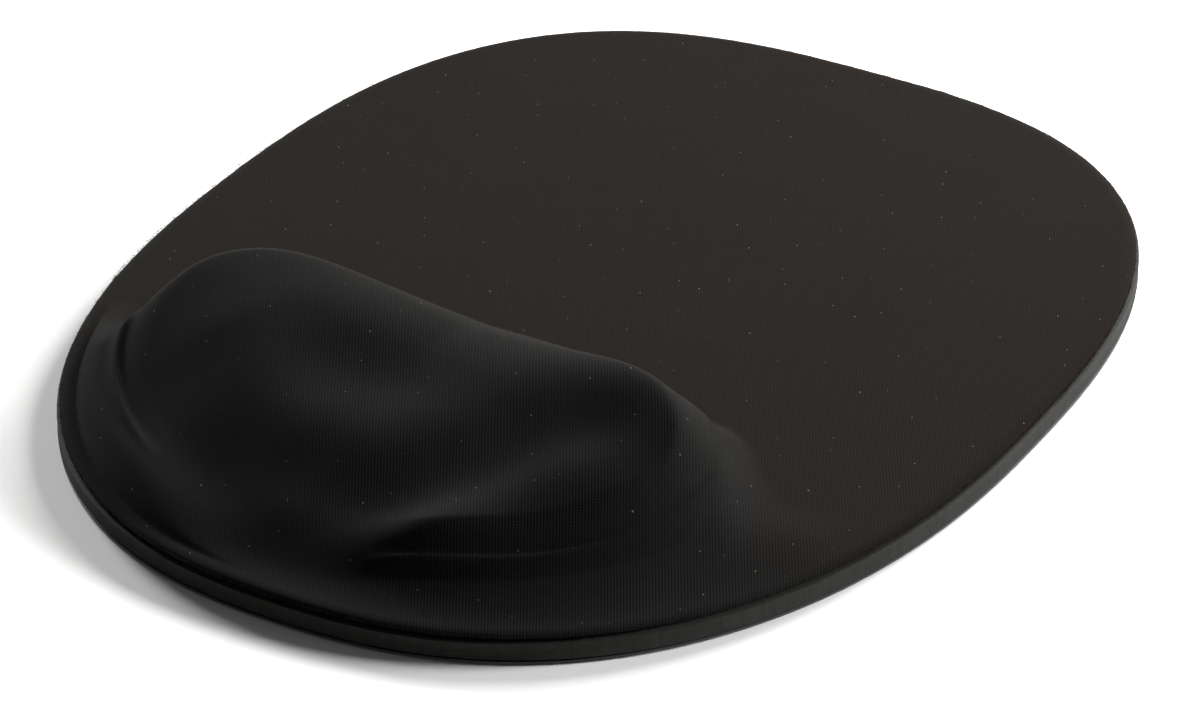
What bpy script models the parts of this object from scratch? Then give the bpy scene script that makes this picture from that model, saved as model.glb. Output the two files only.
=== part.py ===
"""Ergonomic mouse pad with an integrated, two-lobed gel wrist rest.

A rounded pad carries a wrist cushion along its near edge. The layers, from the desk up, are an
anti-slip sheet, a die-cut foam slab, a moulded foam former with a pocket, a gel pouch of two films
around a gel core that sits in the pocket, and one stretch-cloth cover bonded over everything.

Frame: metres, +X to the user's right, +Y away from the user, +Z up. The origin is on the desk,
in the middle of the pad's width and of its length.
"""

import math

import bmesh
import bpy
from mathutils import Vector

# ------------------------------------------------------------------ driving sizes: the pad
PAD_WIDTH = 0.200  # widest, left to right
PAD_FRONT = 0.130  # from the widest line to the near edge
PAD_BACK = 0.120  # from the widest line to the far edge
FRONT_SQUARENESS = 2.30  # exponent of the outline's near half; 2 is an ellipse
BACK_SQUARENESS = 2.70  # exponent of the outline's far half

SHEET_THICKNESS = 0.0010  # anti-slip rubber sheet
SLAB_THICKNESS = 0.0042  # die-cut foam slab, the visible side wall
COVER_THICKNESS = 0.0010  # stretch cloth with its bonded backing
COVER_EDGE_INSET = 0.0006  # the cloth's cut edge stops short of the slab's wall
RIM_ROLL = 0.0030  # width of the rounded cloth rim
RIM_DROP = 0.0005  # how far the cloth's top falls over that width

# ------------------------------------------------------------------ driving sizes: the cushion
LEDGE_WIDTH = 0.0050  # flat ledge between the pad's edge and the shoulder's foot
SHOULDER_HEIGHT = 0.0046  # top of the shoulder above the mousing surface
SHOULDER_FRONT_SLOPE = 0.0120  # width of the slope up from the ledge
SHOULDER_BACK_SLOPE = 0.0110  # width of the slope down to the mousing surface
CUSHION_DEPTH = 0.0990  # pad's near edge to the cushion's far foot, in the middle
CUSHION_SIDE_DEPTH = 0.0750  # the same at the ends, where the foot comes back to the rim
FOOT_TURN_START = 0.0350  # half width where the far foot starts to come forward
FOOT_TURN_END = 0.0760  # half width where it has come all the way

HUMP_SIDE_MARGIN = 0.0330  # pad's widest point to the hump's end
HUMP_FRONT_MARGIN = 0.0165  # pad's near edge to the hump's near foot
HUMP_BACK_MARGIN = 0.0060  # hump's far foot to the cushion's far foot
HUMP_SQUARENESS = 2.50  # exponent of the hump's footprint
HUMP_HEIGHT = 0.0230  # lobes' top above the mousing surface
HUMP_WALL = 0.0230  # width of the hump's rounded wall
BOWL_DEPTH = 0.0050  # middle of the bowl below the lobes
BOWL_HALF_WIDTH = 0.0250
BOWL_HALF_DEPTH = 0.0240

# ------------------------------------------------------------------ driving sizes: the inside
FORMER_EDGE_INSET = 0.0052  # the shoulder's foot to the former's feathered edge
FORMER_EDGE_DEPTH = 0.0060  # depth of the former's blunt ends
FORMER_EDGE_THICKNESS = 0.0004
POCKET_FLOOR = 0.0020  # foam left under the gel pouch
POUCH_INSET = 0.0100  # hump's foot to the pouch's side
POUCH_EDGE_ROUND = 0.0060  # width of the pouch's rounded edge
POUCH_EDGE_DROP = 0.0016  # how far its top falls over that width
FILM_THICKNESS = 0.0005

PIECE_GAP = 0.0003  # between flat faces that are bonded together
SOFT_GAP = 0.0010  # between curved soft skins

# ------------------------------------------------------------------ mesh fineness
OUTLINE_POINTS = 120
COVER_CELLS = (38, 44)
COVER_ROW_CROWDING = 0.28  # rows are closer together under the cushion
FORMER_CELLS = (34, 12)
POUCH_CELLS = (24, 16)

# ------------------------------------------------------------------ worked-out places
HALF_WIDTH = PAD_WIDTH / 2
WIDEST_Y = (PAD_FRONT - PAD_BACK) / 2
NEAR_EDGE_Y = WIDEST_Y - PAD_FRONT
SLAB_BOTTOM = SHEET_THICKNESS + PIECE_GAP
SLAB_TOP = SLAB_BOTTOM + SLAB_THICKNESS
COVER_BOTTOM = SLAB_TOP + PIECE_GAP
MOUSING_SURFACE = COVER_BOTTOM + COVER_THICKNESS
HUMP_HALF_WIDTH = HALF_WIDTH - HUMP_SIDE_MARGIN
HUMP_HALF_DEPTH = (CUSHION_DEPTH - HUMP_BACK_MARGIN - HUMP_FRONT_MARGIN) / 2
HUMP_Y = NEAR_EDGE_Y + HUMP_FRONT_MARGIN + HUMP_HALF_DEPTH
FORMER_BOTTOM = SLAB_TOP + PIECE_GAP
POUCH_BOTTOM = FORMER_BOTTOM + POCKET_FLOOR + PIECE_GAP
SLOPE_STEP = 0.0004  # step for reading a slope off the height function


# ------------------------------------------------------------------ shape formulas
def smooth_step(t):
    """Rise from 0 to 1 with level ends as t goes from 0 to 1."""
    t = min(max(t, 0.0), 1.0)
    return t * t * (3.0 - 2.0 * t)


def arc_step(t):
    """Rise from 0 to 1 along two even bends, which keeps the bends as wide as they can be."""
    t = min(max(t, 0.0), 1.0)
    return 2.0 * t * t if t < 0.5 else 1.0 - 2.0 * (1.0 - t) ** 2


def superellipse_level(x, y, half_x, half_y, power):
    """Return 0 in the middle of a superellipse and 1 on its edge."""
    return (abs(x / half_x) ** power + abs(y / half_y) ** power) ** (1.0 / power)


def outline_level(x, y):
    """Return 0 at the middle of the pad's widest line and 1 on its outline."""
    if y < WIDEST_Y:
        return superellipse_level(x, y - WIDEST_Y, HALF_WIDTH, PAD_FRONT, FRONT_SQUARENESS)
    return superellipse_level(x, y - WIDEST_Y, HALF_WIDTH, PAD_BACK, BACK_SQUARENESS)


def slopes(function, x, y):
    """Return a function's slopes along X and Y."""
    along_x = (function(x + SLOPE_STEP, y) - function(x - SLOPE_STEP, y)) / (2 * SLOPE_STEP)
    along_y = (function(x, y + SLOPE_STEP) - function(x, y - SLOPE_STEP)) / (2 * SLOPE_STEP)
    return along_x, along_y


def inside_distance(level, x, y):
    """Return about how far a point lies inside the edge where a level function reaches 1."""
    return (1.0 - level(x, y)) / max(math.hypot(*slopes(level, x, y)), 1.0)


def rim_distance(x, y):
    """Return about how far a point lies inside the pad's outline."""
    return inside_distance(outline_level, x, y)


def far_foot_y(x):
    """Return where the cushion's far foot meets the mousing surface."""
    turn = smooth_step((abs(x) - FOOT_TURN_START) / (FOOT_TURN_END - FOOT_TURN_START))
    return NEAR_EDGE_Y + CUSHION_DEPTH + (CUSHION_SIDE_DEPTH - CUSHION_DEPTH) * turn


def shoulder_height(x, y):
    """Return the height of the broad shoulder above the mousing surface."""
    front = smooth_step((rim_distance(x, y) - LEDGE_WIDTH) / SHOULDER_FRONT_SLOPE)
    back = smooth_step((far_foot_y(x) - y) / SHOULDER_BACK_SLOPE)
    return SHOULDER_HEIGHT * front * back


def hump_level(x, y):
    """Return 0 in the middle of the hump's footprint and 1 on its foot."""
    return superellipse_level(x, y - HUMP_Y, HUMP_HALF_WIDTH, HUMP_HALF_DEPTH, HUMP_SQUARENESS)


def hump_top(x, y):
    """Return the height of the hump's top, with its bowl between the two lobes."""
    across = x / BOWL_HALF_WIDTH
    along = (y - HUMP_Y) / BOWL_HALF_DEPTH
    return HUMP_HEIGHT - BOWL_DEPTH * math.exp(-across * across - along * along)


def cushion_height(x, y):
    """Return the height of the whole cushion above the mousing surface."""
    shoulder = shoulder_height(x, y)
    wall = arc_step(inside_distance(hump_level, x, y) / HUMP_WALL)
    return shoulder + (hump_top(x, y) - shoulder) * wall


def steepness(x, y):
    """Return the length of the surface for one unit on the plan."""
    slope_x, slope_y = slopes(cushion_height, x, y)
    return math.sqrt(1.0 + slope_x * slope_x + slope_y * slope_y)


def cover_top(x, y):
    """Return the height of the cloth's outer face."""
    roll = 1.0 - smooth_step(rim_distance(x, y) / RIM_ROLL)
    return MOUSING_SURFACE + cushion_height(x, y) - RIM_DROP * roll


def depth_below_cloth(x, y, depth):
    """Return the height of a face that lies this far under the cloth's outer face."""
    return MOUSING_SURFACE + cushion_height(x, y) - depth * steepness(x, y)


def cover_underside(x, y):
    """Return the height of the cloth's inner face, which never dips into the slab."""
    return max(depth_below_cloth(x, y, COVER_THICKNESS), COVER_BOTTOM)


def former_top(x, y):
    """Return the height of the former's top, feathered at its edge."""
    height = depth_below_cloth(x, y, COVER_THICKNESS + SOFT_GAP)
    return max(height, FORMER_BOTTOM + FORMER_EDGE_THICKNESS)


def pouch_edge_drop(x, y):
    """Return how far the pouch's rounded edge falls away from the cloth."""
    from_side = inside_distance(hump_level, x, y) - POUCH_INSET
    return POUCH_EDGE_DROP * (1.0 - smooth_step(from_side / POUCH_EDGE_ROUND))


def pouch_top(x, y):
    """Return the height of the pouch's outer face."""
    return depth_below_cloth(x, y, COVER_THICKNESS + SOFT_GAP) - pouch_edge_drop(x, y)


def gel_top(x, y):
    """Return the height of the gel core's top."""
    covered = COVER_THICKNESS + 2 * SOFT_GAP + FILM_THICKNESS
    return depth_below_cloth(x, y, covered) - pouch_edge_drop(x, y)


# ------------------------------------------------------------------ plans
def disc_from_square(u, v):
    """Map a point of the square from -1 to 1 to the unit disc."""
    return u * math.sqrt(1.0 - v * v / 2.0), v * math.sqrt(1.0 - u * u / 2.0)


def superellipse_radius(x, y, half_x, half_y, power):
    """Return the distance to a superellipse's edge in the direction of (x, y)."""
    length = math.hypot(x, y)
    if length == 0.0:
        return half_x
    return 1.0 / superellipse_level(x / length, y / length, half_x, half_y, power)


def outline_point(dx, dy, inset):
    """Map a point of the unit disc to the pad's outline, drawn in by an inset."""
    half_y = PAD_FRONT if dy < 0.0 else PAD_BACK
    power = FRONT_SQUARENESS if dy < 0.0 else BACK_SQUARENESS
    radius = superellipse_radius(dx, dy, HALF_WIDTH - inset, half_y - inset, power)
    return dx * radius, WIDEST_Y + dy * radius


def cover_plan(u, v):
    """Place a point of the cover's grid."""
    crowded = v + COVER_ROW_CROWDING * (v * v - 1.0)
    return outline_point(*disc_from_square(u, crowded), COVER_EDGE_INSET)


def pouch_plan(u, v, inset):
    """Place a point of a grid over the pouch's footprint, drawn in by an inset."""
    dx, dy = disc_from_square(u, v)
    half_x = HUMP_HALF_WIDTH - inset
    half_y = HUMP_HALF_DEPTH - inset
    radius = superellipse_radius(dx, dy, half_x, half_y, HUMP_SQUARENESS)
    return dx * radius, HUMP_Y + dy * radius


def former_front_y(x):
    """Return the former's near edge at this distance from the middle."""
    inset = LEDGE_WIDTH + FORMER_EDGE_INSET
    share = min(abs(x) / (HALF_WIDTH - inset), 1.0)
    return WIDEST_Y - (PAD_FRONT - inset) * (1.0 - share**FRONT_SQUARENESS) ** (1.0 / FRONT_SQUARENESS)


def former_back_y(x):
    """Return the former's far edge at this distance from the middle."""
    return far_foot_y(x) - FORMER_EDGE_INSET


def former_half_width():
    """Return the half width at which the former is as deep as its blunt ends."""
    low = 0.0
    high = HALF_WIDTH - LEDGE_WIDTH - FORMER_EDGE_INSET
    for _ in range(40):
        middle = (low + high) / 2
        if former_back_y(middle) - former_front_y(middle) > FORMER_EDGE_DEPTH:
            low = middle
        else:
            high = middle
    return low


def former_plan(u, v):
    """Place a point of the former's grid, between its near and far edges."""
    x = former_half_width() * math.sin(u * math.pi / 2)
    near = former_front_y(x)
    return x, near + (former_back_y(x) - near) * (v + 1.0) / 2


# ------------------------------------------------------------------ modelling helpers
def make_material(name, colour, roughness):
    """Return a Principled material for a soft, non-metallic piece."""
    material = bpy.data.materials.new(name)
    material.use_nodes = True
    shader = material.node_tree.nodes["Principled BSDF"]
    shader.inputs["Base Color"].default_value = (*colour, 1.0)
    shader.inputs["Roughness"].default_value = roughness
    shader.inputs["Metallic"].default_value = 0.0
    material.diffuse_color = (*colour, 1.0)
    return material


def add_object(name, data, collection, material):
    """Link a new object for this mesh or curve."""
    data.materials.append(material)
    piece = bpy.data.objects.new(name, data)
    collection.objects.link(piece)
    return piece


def mesh_object(name, mesh_edit, collection, material):
    """Turn a finished bmesh into a smooth-shaded object, its quads split along their bends."""
    bmesh.ops.triangulate(mesh_edit, faces=mesh_edit.faces, quad_method="SHORT_EDGE")
    bmesh.ops.recalc_face_normals(mesh_edit, faces=mesh_edit.faces)
    mesh = bpy.data.meshes.new(name)
    mesh_edit.to_mesh(mesh)
    mesh_edit.free()
    mesh.shade_smooth()
    mesh.set_sharp_from_angle(angle=math.radians(50))
    return add_object(name, mesh, collection, material)


def grid_on_plan(cells, plan):
    """Return a bmesh grid whose points are placed by a plan function."""
    mesh_edit = bmesh.new()
    bmesh.ops.create_grid(mesh_edit, x_segments=cells[0], y_segments=cells[1], size=1.0)
    for vertex in mesh_edit.verts:
        x, y = plan(vertex.co.x, vertex.co.y)
        vertex.co = Vector((x, y, 0.0))
    return mesh_edit


def layer_between(name, cells, plan, top, bottom, collection, material):
    """Make one closed layer: a grid for its underside, extruded up to its top."""
    mesh_edit = grid_on_plan(cells, plan)
    lower = list(mesh_edit.verts)
    extruded = bmesh.ops.extrude_face_region(mesh_edit, geom=list(mesh_edit.faces))
    upper = [item for item in extruded["geom"] if isinstance(item, bmesh.types.BMVert)]
    for vertex in lower:
        vertex.co.z = bottom(vertex.co.x, vertex.co.y)
    for vertex in upper:
        vertex.co.z = top(vertex.co.x, vertex.co.y)
    return mesh_object(name, mesh_edit, collection, material)


def flat_outline_sheet(name, bottom, thickness, collection, material):
    """Make a flat die-cut sheet with the pad's whole outline."""
    curve = bpy.data.curves.new(name, "CURVE")
    curve.dimensions = "2D"
    curve.fill_mode = "BOTH"
    curve.extrude = thickness / 2
    spline = curve.splines.new("POLY")
    spline.points.add(OUTLINE_POINTS - 1)
    for index, point in enumerate(spline.points):
        angle = 2 * math.pi * index / OUTLINE_POINTS
        x, y = outline_point(math.cos(angle), math.sin(angle), 0.0)
        point.co = (x, y, 0.0, 1.0)
    spline.use_cyclic_u = True
    sheet = add_object(name, curve, collection, material)
    sheet.location.z = bottom + thickness / 2
    return sheet


def flat(height):
    """Return a height function that is the same everywhere."""
    return lambda x, y: height


# ------------------------------------------------------------------ pieces
def make_base(collection):
    """Make the anti-slip sheet and the foam slab on it."""
    rubber = make_material("textured_rubber", (0.020, 0.020, 0.021), 0.85)
    foam = make_material("closed_cell_foam", (0.030, 0.030, 0.030), 0.80)
    flat_outline_sheet("anti_slip_sheet", 0.0, SHEET_THICKNESS, collection, rubber)
    flat_outline_sheet("foam_slab", SLAB_BOTTOM, SLAB_THICKNESS, collection, foam)


def make_former(collection, cutters):
    """Make the moulded foam former with the pocket that holds the pouch."""
    foam = make_material("moulded_foam", (0.055, 0.054, 0.052), 0.85)
    former = layer_between(
        "wrist_former", FORMER_CELLS, former_plan, former_top, flat(FORMER_BOTTOM), collection, foam
    )
    pocket = layer_between(
        "pocket_cutter",
        POUCH_CELLS,
        lambda u, v: pouch_plan(u, v, POUCH_INSET - PIECE_GAP),
        flat(MOUSING_SURFACE + 2 * HUMP_HEIGHT),
        flat(FORMER_BOTTOM + POCKET_FLOOR),
        cutters,
        foam,
    )
    pocket.hide_render = True
    pocket.display_type = "WIRE"
    cut = former.modifiers.new("gel_pocket", "BOOLEAN")
    cut.operation = "DIFFERENCE"
    cut.solver = "EXACT"
    cut.object = pocket


def make_upper_film(collection, material):
    """Make the pouch's domed film: an open cap with a skirt, given a wall."""
    mesh_edit = grid_on_plan(POUCH_CELLS, lambda u, v: pouch_plan(u, v, POUCH_INSET))
    for vertex in mesh_edit.verts:
        vertex.co.z = pouch_top(vertex.co.x, vertex.co.y)
    edge = [item for item in mesh_edit.edges if item.is_boundary]
    skirt = bmesh.ops.extrude_edge_only(mesh_edit, edges=edge)
    skirt_foot = POUCH_BOTTOM + FILM_THICKNESS + PIECE_GAP
    for item in skirt["geom"]:
        if isinstance(item, bmesh.types.BMVert):
            item.co.z = skirt_foot
    bmesh.ops.recalc_face_normals(mesh_edit, faces=mesh_edit.faces)
    film = mesh_object("gel_pouch_upper_film", mesh_edit, collection, material)
    wall = film.modifiers.new("film_wall", "SOLIDIFY")
    wall.thickness = FILM_THICKNESS
    wall.offset = -1.0
    return film


def make_pouch(collection):
    """Make the gel pouch: two films around a core of soft gel."""
    film = make_material("polyurethane_film", (0.60, 0.62, 0.64), 0.30)
    gel = make_material("silicone_gel", (0.35, 0.45, 0.55), 0.15)
    lower_top = POUCH_BOTTOM + FILM_THICKNESS
    layer_between(
        "gel_pouch_lower_film",
        POUCH_CELLS,
        lambda u, v: pouch_plan(u, v, POUCH_INSET),
        flat(lower_top),
        flat(POUCH_BOTTOM),
        collection,
        film,
    )
    make_upper_film(collection, film)
    layer_between(
        "gel_core",
        POUCH_CELLS,
        lambda u, v: pouch_plan(u, v, POUCH_INSET + FILM_THICKNESS + SOFT_GAP),
        gel_top,
        flat(lower_top + PIECE_GAP),
        collection,
        gel,
    )


def make_cover(collection):
    """Make the one-piece cloth that is moulded over the slab and the cushion."""
    cloth = make_material("stretch_cloth", (0.022, 0.021, 0.020), 0.90)
    layer_between("cloth_cover", COVER_CELLS, cover_plan, cover_top, cover_underside, collection, cloth)


def new_collection(name):
    """Return a new collection in the scene."""
    collection = bpy.data.collections.new(name)
    bpy.context.scene.collection.children.link(collection)
    return collection


def main():
    """Build every piece of the mouse pad."""
    for item in list(bpy.data.objects):
        bpy.data.objects.remove(item, do_unlink=True)
    pad = new_collection("ergonomic_mouse_pad")
    cutters = new_collection("cutters")
    make_base(pad)
    make_former(pad, cutters)
    make_pouch(pad)
    make_cover(pad)


main()
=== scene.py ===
"""Looks of an ergonomic mouse pad with a two-lobed gel wrist rest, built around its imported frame.

Sizes in the dataclasses are in millimetres, the way a maker states them. Meshes are in metres, in
the frame's own axes: +X to the user's right, +Y away from the user, +Z up, desk at Z = 0.
"""

import logging
import math
from dataclasses import dataclass
from enum import Enum
from typing import Callable, Iterable

import bpy
import numpy as np
from mathutils import Matrix, Vector


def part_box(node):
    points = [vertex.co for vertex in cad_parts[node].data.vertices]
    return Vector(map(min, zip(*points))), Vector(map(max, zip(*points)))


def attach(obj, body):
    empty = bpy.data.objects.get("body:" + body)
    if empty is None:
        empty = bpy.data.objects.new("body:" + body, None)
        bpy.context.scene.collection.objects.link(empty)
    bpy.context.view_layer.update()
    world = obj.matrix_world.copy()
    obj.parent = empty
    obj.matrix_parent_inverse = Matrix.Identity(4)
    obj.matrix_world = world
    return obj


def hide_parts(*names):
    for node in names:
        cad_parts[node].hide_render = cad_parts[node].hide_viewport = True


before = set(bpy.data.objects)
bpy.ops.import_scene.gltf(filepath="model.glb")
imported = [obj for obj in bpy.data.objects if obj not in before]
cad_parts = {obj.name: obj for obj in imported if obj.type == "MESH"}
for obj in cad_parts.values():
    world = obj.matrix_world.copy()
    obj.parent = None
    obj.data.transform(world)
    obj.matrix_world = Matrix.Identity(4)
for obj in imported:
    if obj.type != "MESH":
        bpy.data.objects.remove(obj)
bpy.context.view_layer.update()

LOG = logging.getLogger("wrist_rest_pad")
MM = 0.001
BODY = "root"
TINY = 1e-9
FULL_TURN = 2 * math.pi
# The widest line lies this share of the length behind the front edge.
FRONT_SHARE = 130.0 / 250.0

Array = np.ndarray
HeightField = Callable[[Array, Array], Array]
Profile = tuple[tuple[float, float], ...]
Tree = bpy.types.NodeTree
Socket = bpy.types.NodeSocket
Node = bpy.types.Node
Material = bpy.types.Material
Object = bpy.types.Object
Faces = list[tuple[int, ...]]


# ---------------------------------------------------------------- small helpers
def linear(hex_colour: str) -> tuple[float, float, float, float]:
    """Turn an sRGB hex colour into linear RGBA.

    Args:
        hex_colour: six hex digits, with or without a leading #.

    Returns:
        Red, green, blue and an alpha of 1, linear.
    """
    digits = hex_colour.lstrip("#")
    channels = []
    for start in (0, 2, 4):
        value = int(digits[start : start + 2], 16) / 255
        channels.append(value / 12.92 if value <= 0.04045 else ((value + 0.055) / 1.055) ** 2.4)
    return (*channels, 1.0)


def smooth_step(t: Array) -> Array:
    """Rise from 0 to 1 with level ends as t goes from 0 to 1."""
    t = np.clip(t, 0.0, 1.0)
    return t * t * (3.0 - 2.0 * t)


def ramp(value: Array, start: float, end: float) -> Array:
    """Rise smoothly from 0 at the start to 1 at the end."""
    return smooth_step((value - start) / (end - start))


def quarter_round(t: Array) -> Array:
    """Rise from 0 to 1 like a quarter circle: steep at 0, level at 1."""
    t = np.clip(t, 0.0, 1.0)
    return np.sqrt(np.clip(1.0 - (1.0 - t) ** 2, 0.0, 1.0))


def bell(t: Array) -> Array:
    """Return a bell curve, 1 at 0 and nearly 0 beyond 2."""
    return np.exp(-(t**2))


def blend(first: float, second: float, share: Array) -> Array:
    """Go from the first value to the second as the share goes from 0 to 1."""
    return first + (second - first) * share


def inside_foot(
    across: Array, along: Array, half_width: float, reach: Array, power: Array
) -> Array:
    """Return about how far points lie inside a superellipse.

    Args:
        across: distances from its middle, across.
        along: distances from its middle, along.
        half_width: its half width.
        reach: its half length on each point's side.
        power: its squareness on each point's side.

    Returns:
        The distance to its outline, negative outside it.
    """
    share_x = np.abs(across / half_width) + TINY
    share_y = np.abs(along / reach) + TINY
    level = (share_x**power + share_y**power) ** (1.0 / power)
    slope_x = level ** (1 - power) * share_x ** (power - 1) / half_width
    slope_y = level ** (1 - power) * share_y ** (power - 1) / reach
    return (1.0 - level) / np.hypot(slope_x, slope_y)


def feed(tree: Tree, node: Node, inputs: dict) -> None:
    """Set a node's inputs.

    Args:
        tree: the node's tree.
        node: the node.
        inputs: input name or index to a value, or to an output socket that is linked to it.
    """
    for name, value in inputs.items():
        if isinstance(value, Socket):
            tree.links.new(value, node.inputs[name])
        else:
            node.inputs[name].default_value = value


def add_node(tree: Tree, kind: str, inputs: dict | None = None, **settings: object) -> Node:
    """Add one node.

    Args:
        tree: the node tree that takes the node.
        kind: the node's type name.
        inputs: what its inputs are set to, as feed takes them.
        settings: attributes of the node.

    Returns:
        The new node.
    """
    node = tree.nodes.new(kind)
    for name, value in settings.items():
        setattr(node, name, value)
    feed(tree, node, inputs or {})
    return node


def calculate(tree: Tree, operation: str, *values: object) -> Socket:
    """Add a maths node on values or sockets, and return its result."""
    return add_node(tree, "ShaderNodeMath", dict(enumerate(values)), operation=operation).outputs[0]


def mix_colours(tree: Tree, share: Socket, first: object, second: object) -> Socket:
    """Add a mix of two colours, each a colour or a socket, and return its result."""
    inputs = {"Factor": share, "A": first, "B": second}
    return add_node(tree, "ShaderNodeMix", inputs, data_type="RGBA").outputs["Result"]


def noise(tree: Tree, place: Socket, scale: float, detail: float, roughness: float = 0.5) -> Socket:
    """Add a noise texture and return its value."""
    inputs = {"Vector": place, "Scale": scale, "Detail": detail, "Roughness": roughness}
    return add_node(tree, "ShaderNodeTexNoise", inputs).outputs["Fac"]


def bump(tree: Tree, height: Socket, strength: float, depth_mm: float) -> Socket:
    """Add a fine relief and return the normals that it gives."""
    inputs = {"Height": height, "Strength": strength, "Distance": depth_mm * MM}
    return add_node(tree, "ShaderNodeBump", inputs).outputs["Normal"]


def own_place(tree: Tree, turn_deg: float = 0.0) -> Socket:
    """Return a piece's own coordinates, in millimetres and turned about the upright."""
    place = add_node(tree, "ShaderNodeTexCoord").outputs["Object"]
    inputs = {
        "Vector": place,
        "Rotation": (0.0, 0.0, math.radians(turn_deg)),
        "Scale": (1 / MM,) * 3,
    }
    return add_node(tree, "ShaderNodeMapping", inputs).outputs["Vector"]


def new_material(name: str) -> tuple[Material, Tree, Node]:
    """Make a material and return it, its node tree and its Principled node."""
    material = bpy.data.materials.new(name)
    material.use_nodes = True
    tree = material.node_tree
    return material, tree, tree.nodes["Principled BSDF"]


def add_object(name: str, data: bpy.types.ID) -> Object:
    """Add an object to the scene."""
    thing = bpy.data.objects.new(name, data)
    bpy.context.scene.collection.objects.link(thing)
    return thing


# ---------------------------------------------------------------- the pad's plan and its surface
@dataclass(frozen=True)
class PadOutline:
    """The pad's rounded plan: two half superellipses that meet on its widest line."""

    half_width: float
    front: float
    back: float
    widest_y: float
    front_squareness: float = 2.3
    back_squareness: float = 2.7

    def rim_distance(self, x: Array, y: Array) -> Array:
        """Return about how far points lie inside the outline.

        Args:
            x: distances from the middle, in millimetres.
            y: distances along the pad, in millimetres.

        Returns:
            Millimetres to the outline, negative outside it.
        """
        near = y < self.widest_y
        reach = np.where(near, self.front, self.back)
        power = np.where(near, self.front_squareness, self.back_squareness)
        return inside_foot(x, y - self.widest_y, self.half_width, reach, power)

    def from_disc(self, dx: Array, dy: Array, inset: Array | float = 0.0) -> tuple[Array, Array]:
        """Map points of the unit disc to the plan, drawn in by an inset.

        Args:
            dx: disc coordinates across.
            dy: disc coordinates along.
            inset: millimetres by which the outline is drawn in.

        Returns:
            X and Y in millimetres.
        """
        length = np.maximum(np.hypot(dx, dy), TINY)
        near = dy < 0
        reach = np.where(near, self.front, self.back) - inset
        power = np.where(near, self.front_squareness, self.back_squareness)
        across = np.abs(dx / length) / (self.half_width - inset) + 1e-12
        along = np.abs(dy / length) / reach + 1e-12
        radius = 1.0 / (across**power + along**power) ** (1.0 / power)
        return dx * radius, self.widest_y + dy * radius


@dataclass(frozen=True)
class Mound:
    """A soft oval swelling, or a hollow if its height is negative."""

    x: float
    y: float
    across: float
    along: float
    height: float

    def lift(self, x: Array, y: Array) -> Array:
        """Return how much it raises the surface, in millimetres."""
        away = ((x - self.x) / self.across) ** 2 + ((y - self.y) / self.along) ** 2
        return self.height * np.exp(-away)


@dataclass(frozen=True)
class Ridge:
    """A rounded ridge from its foot to its head."""

    foot: tuple[float, float]
    head: tuple[float, float]
    width: float
    height: float

    def lift(self, x: Array, y: Array) -> Array:
        """Return how much it raises the surface, in millimetres."""
        run_x = self.head[0] - self.foot[0]
        run_y = self.head[1] - self.foot[1]
        share = ((x - self.foot[0]) * run_x + (y - self.foot[1]) * run_y) / (run_x**2 + run_y**2)
        share = np.clip(share, 0.0, 1.0)
        away = (x - self.foot[0] - share * run_x) ** 2 + (y - self.foot[1] - share * run_y) ** 2
        return self.height * np.exp(-away / self.width**2)


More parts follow.
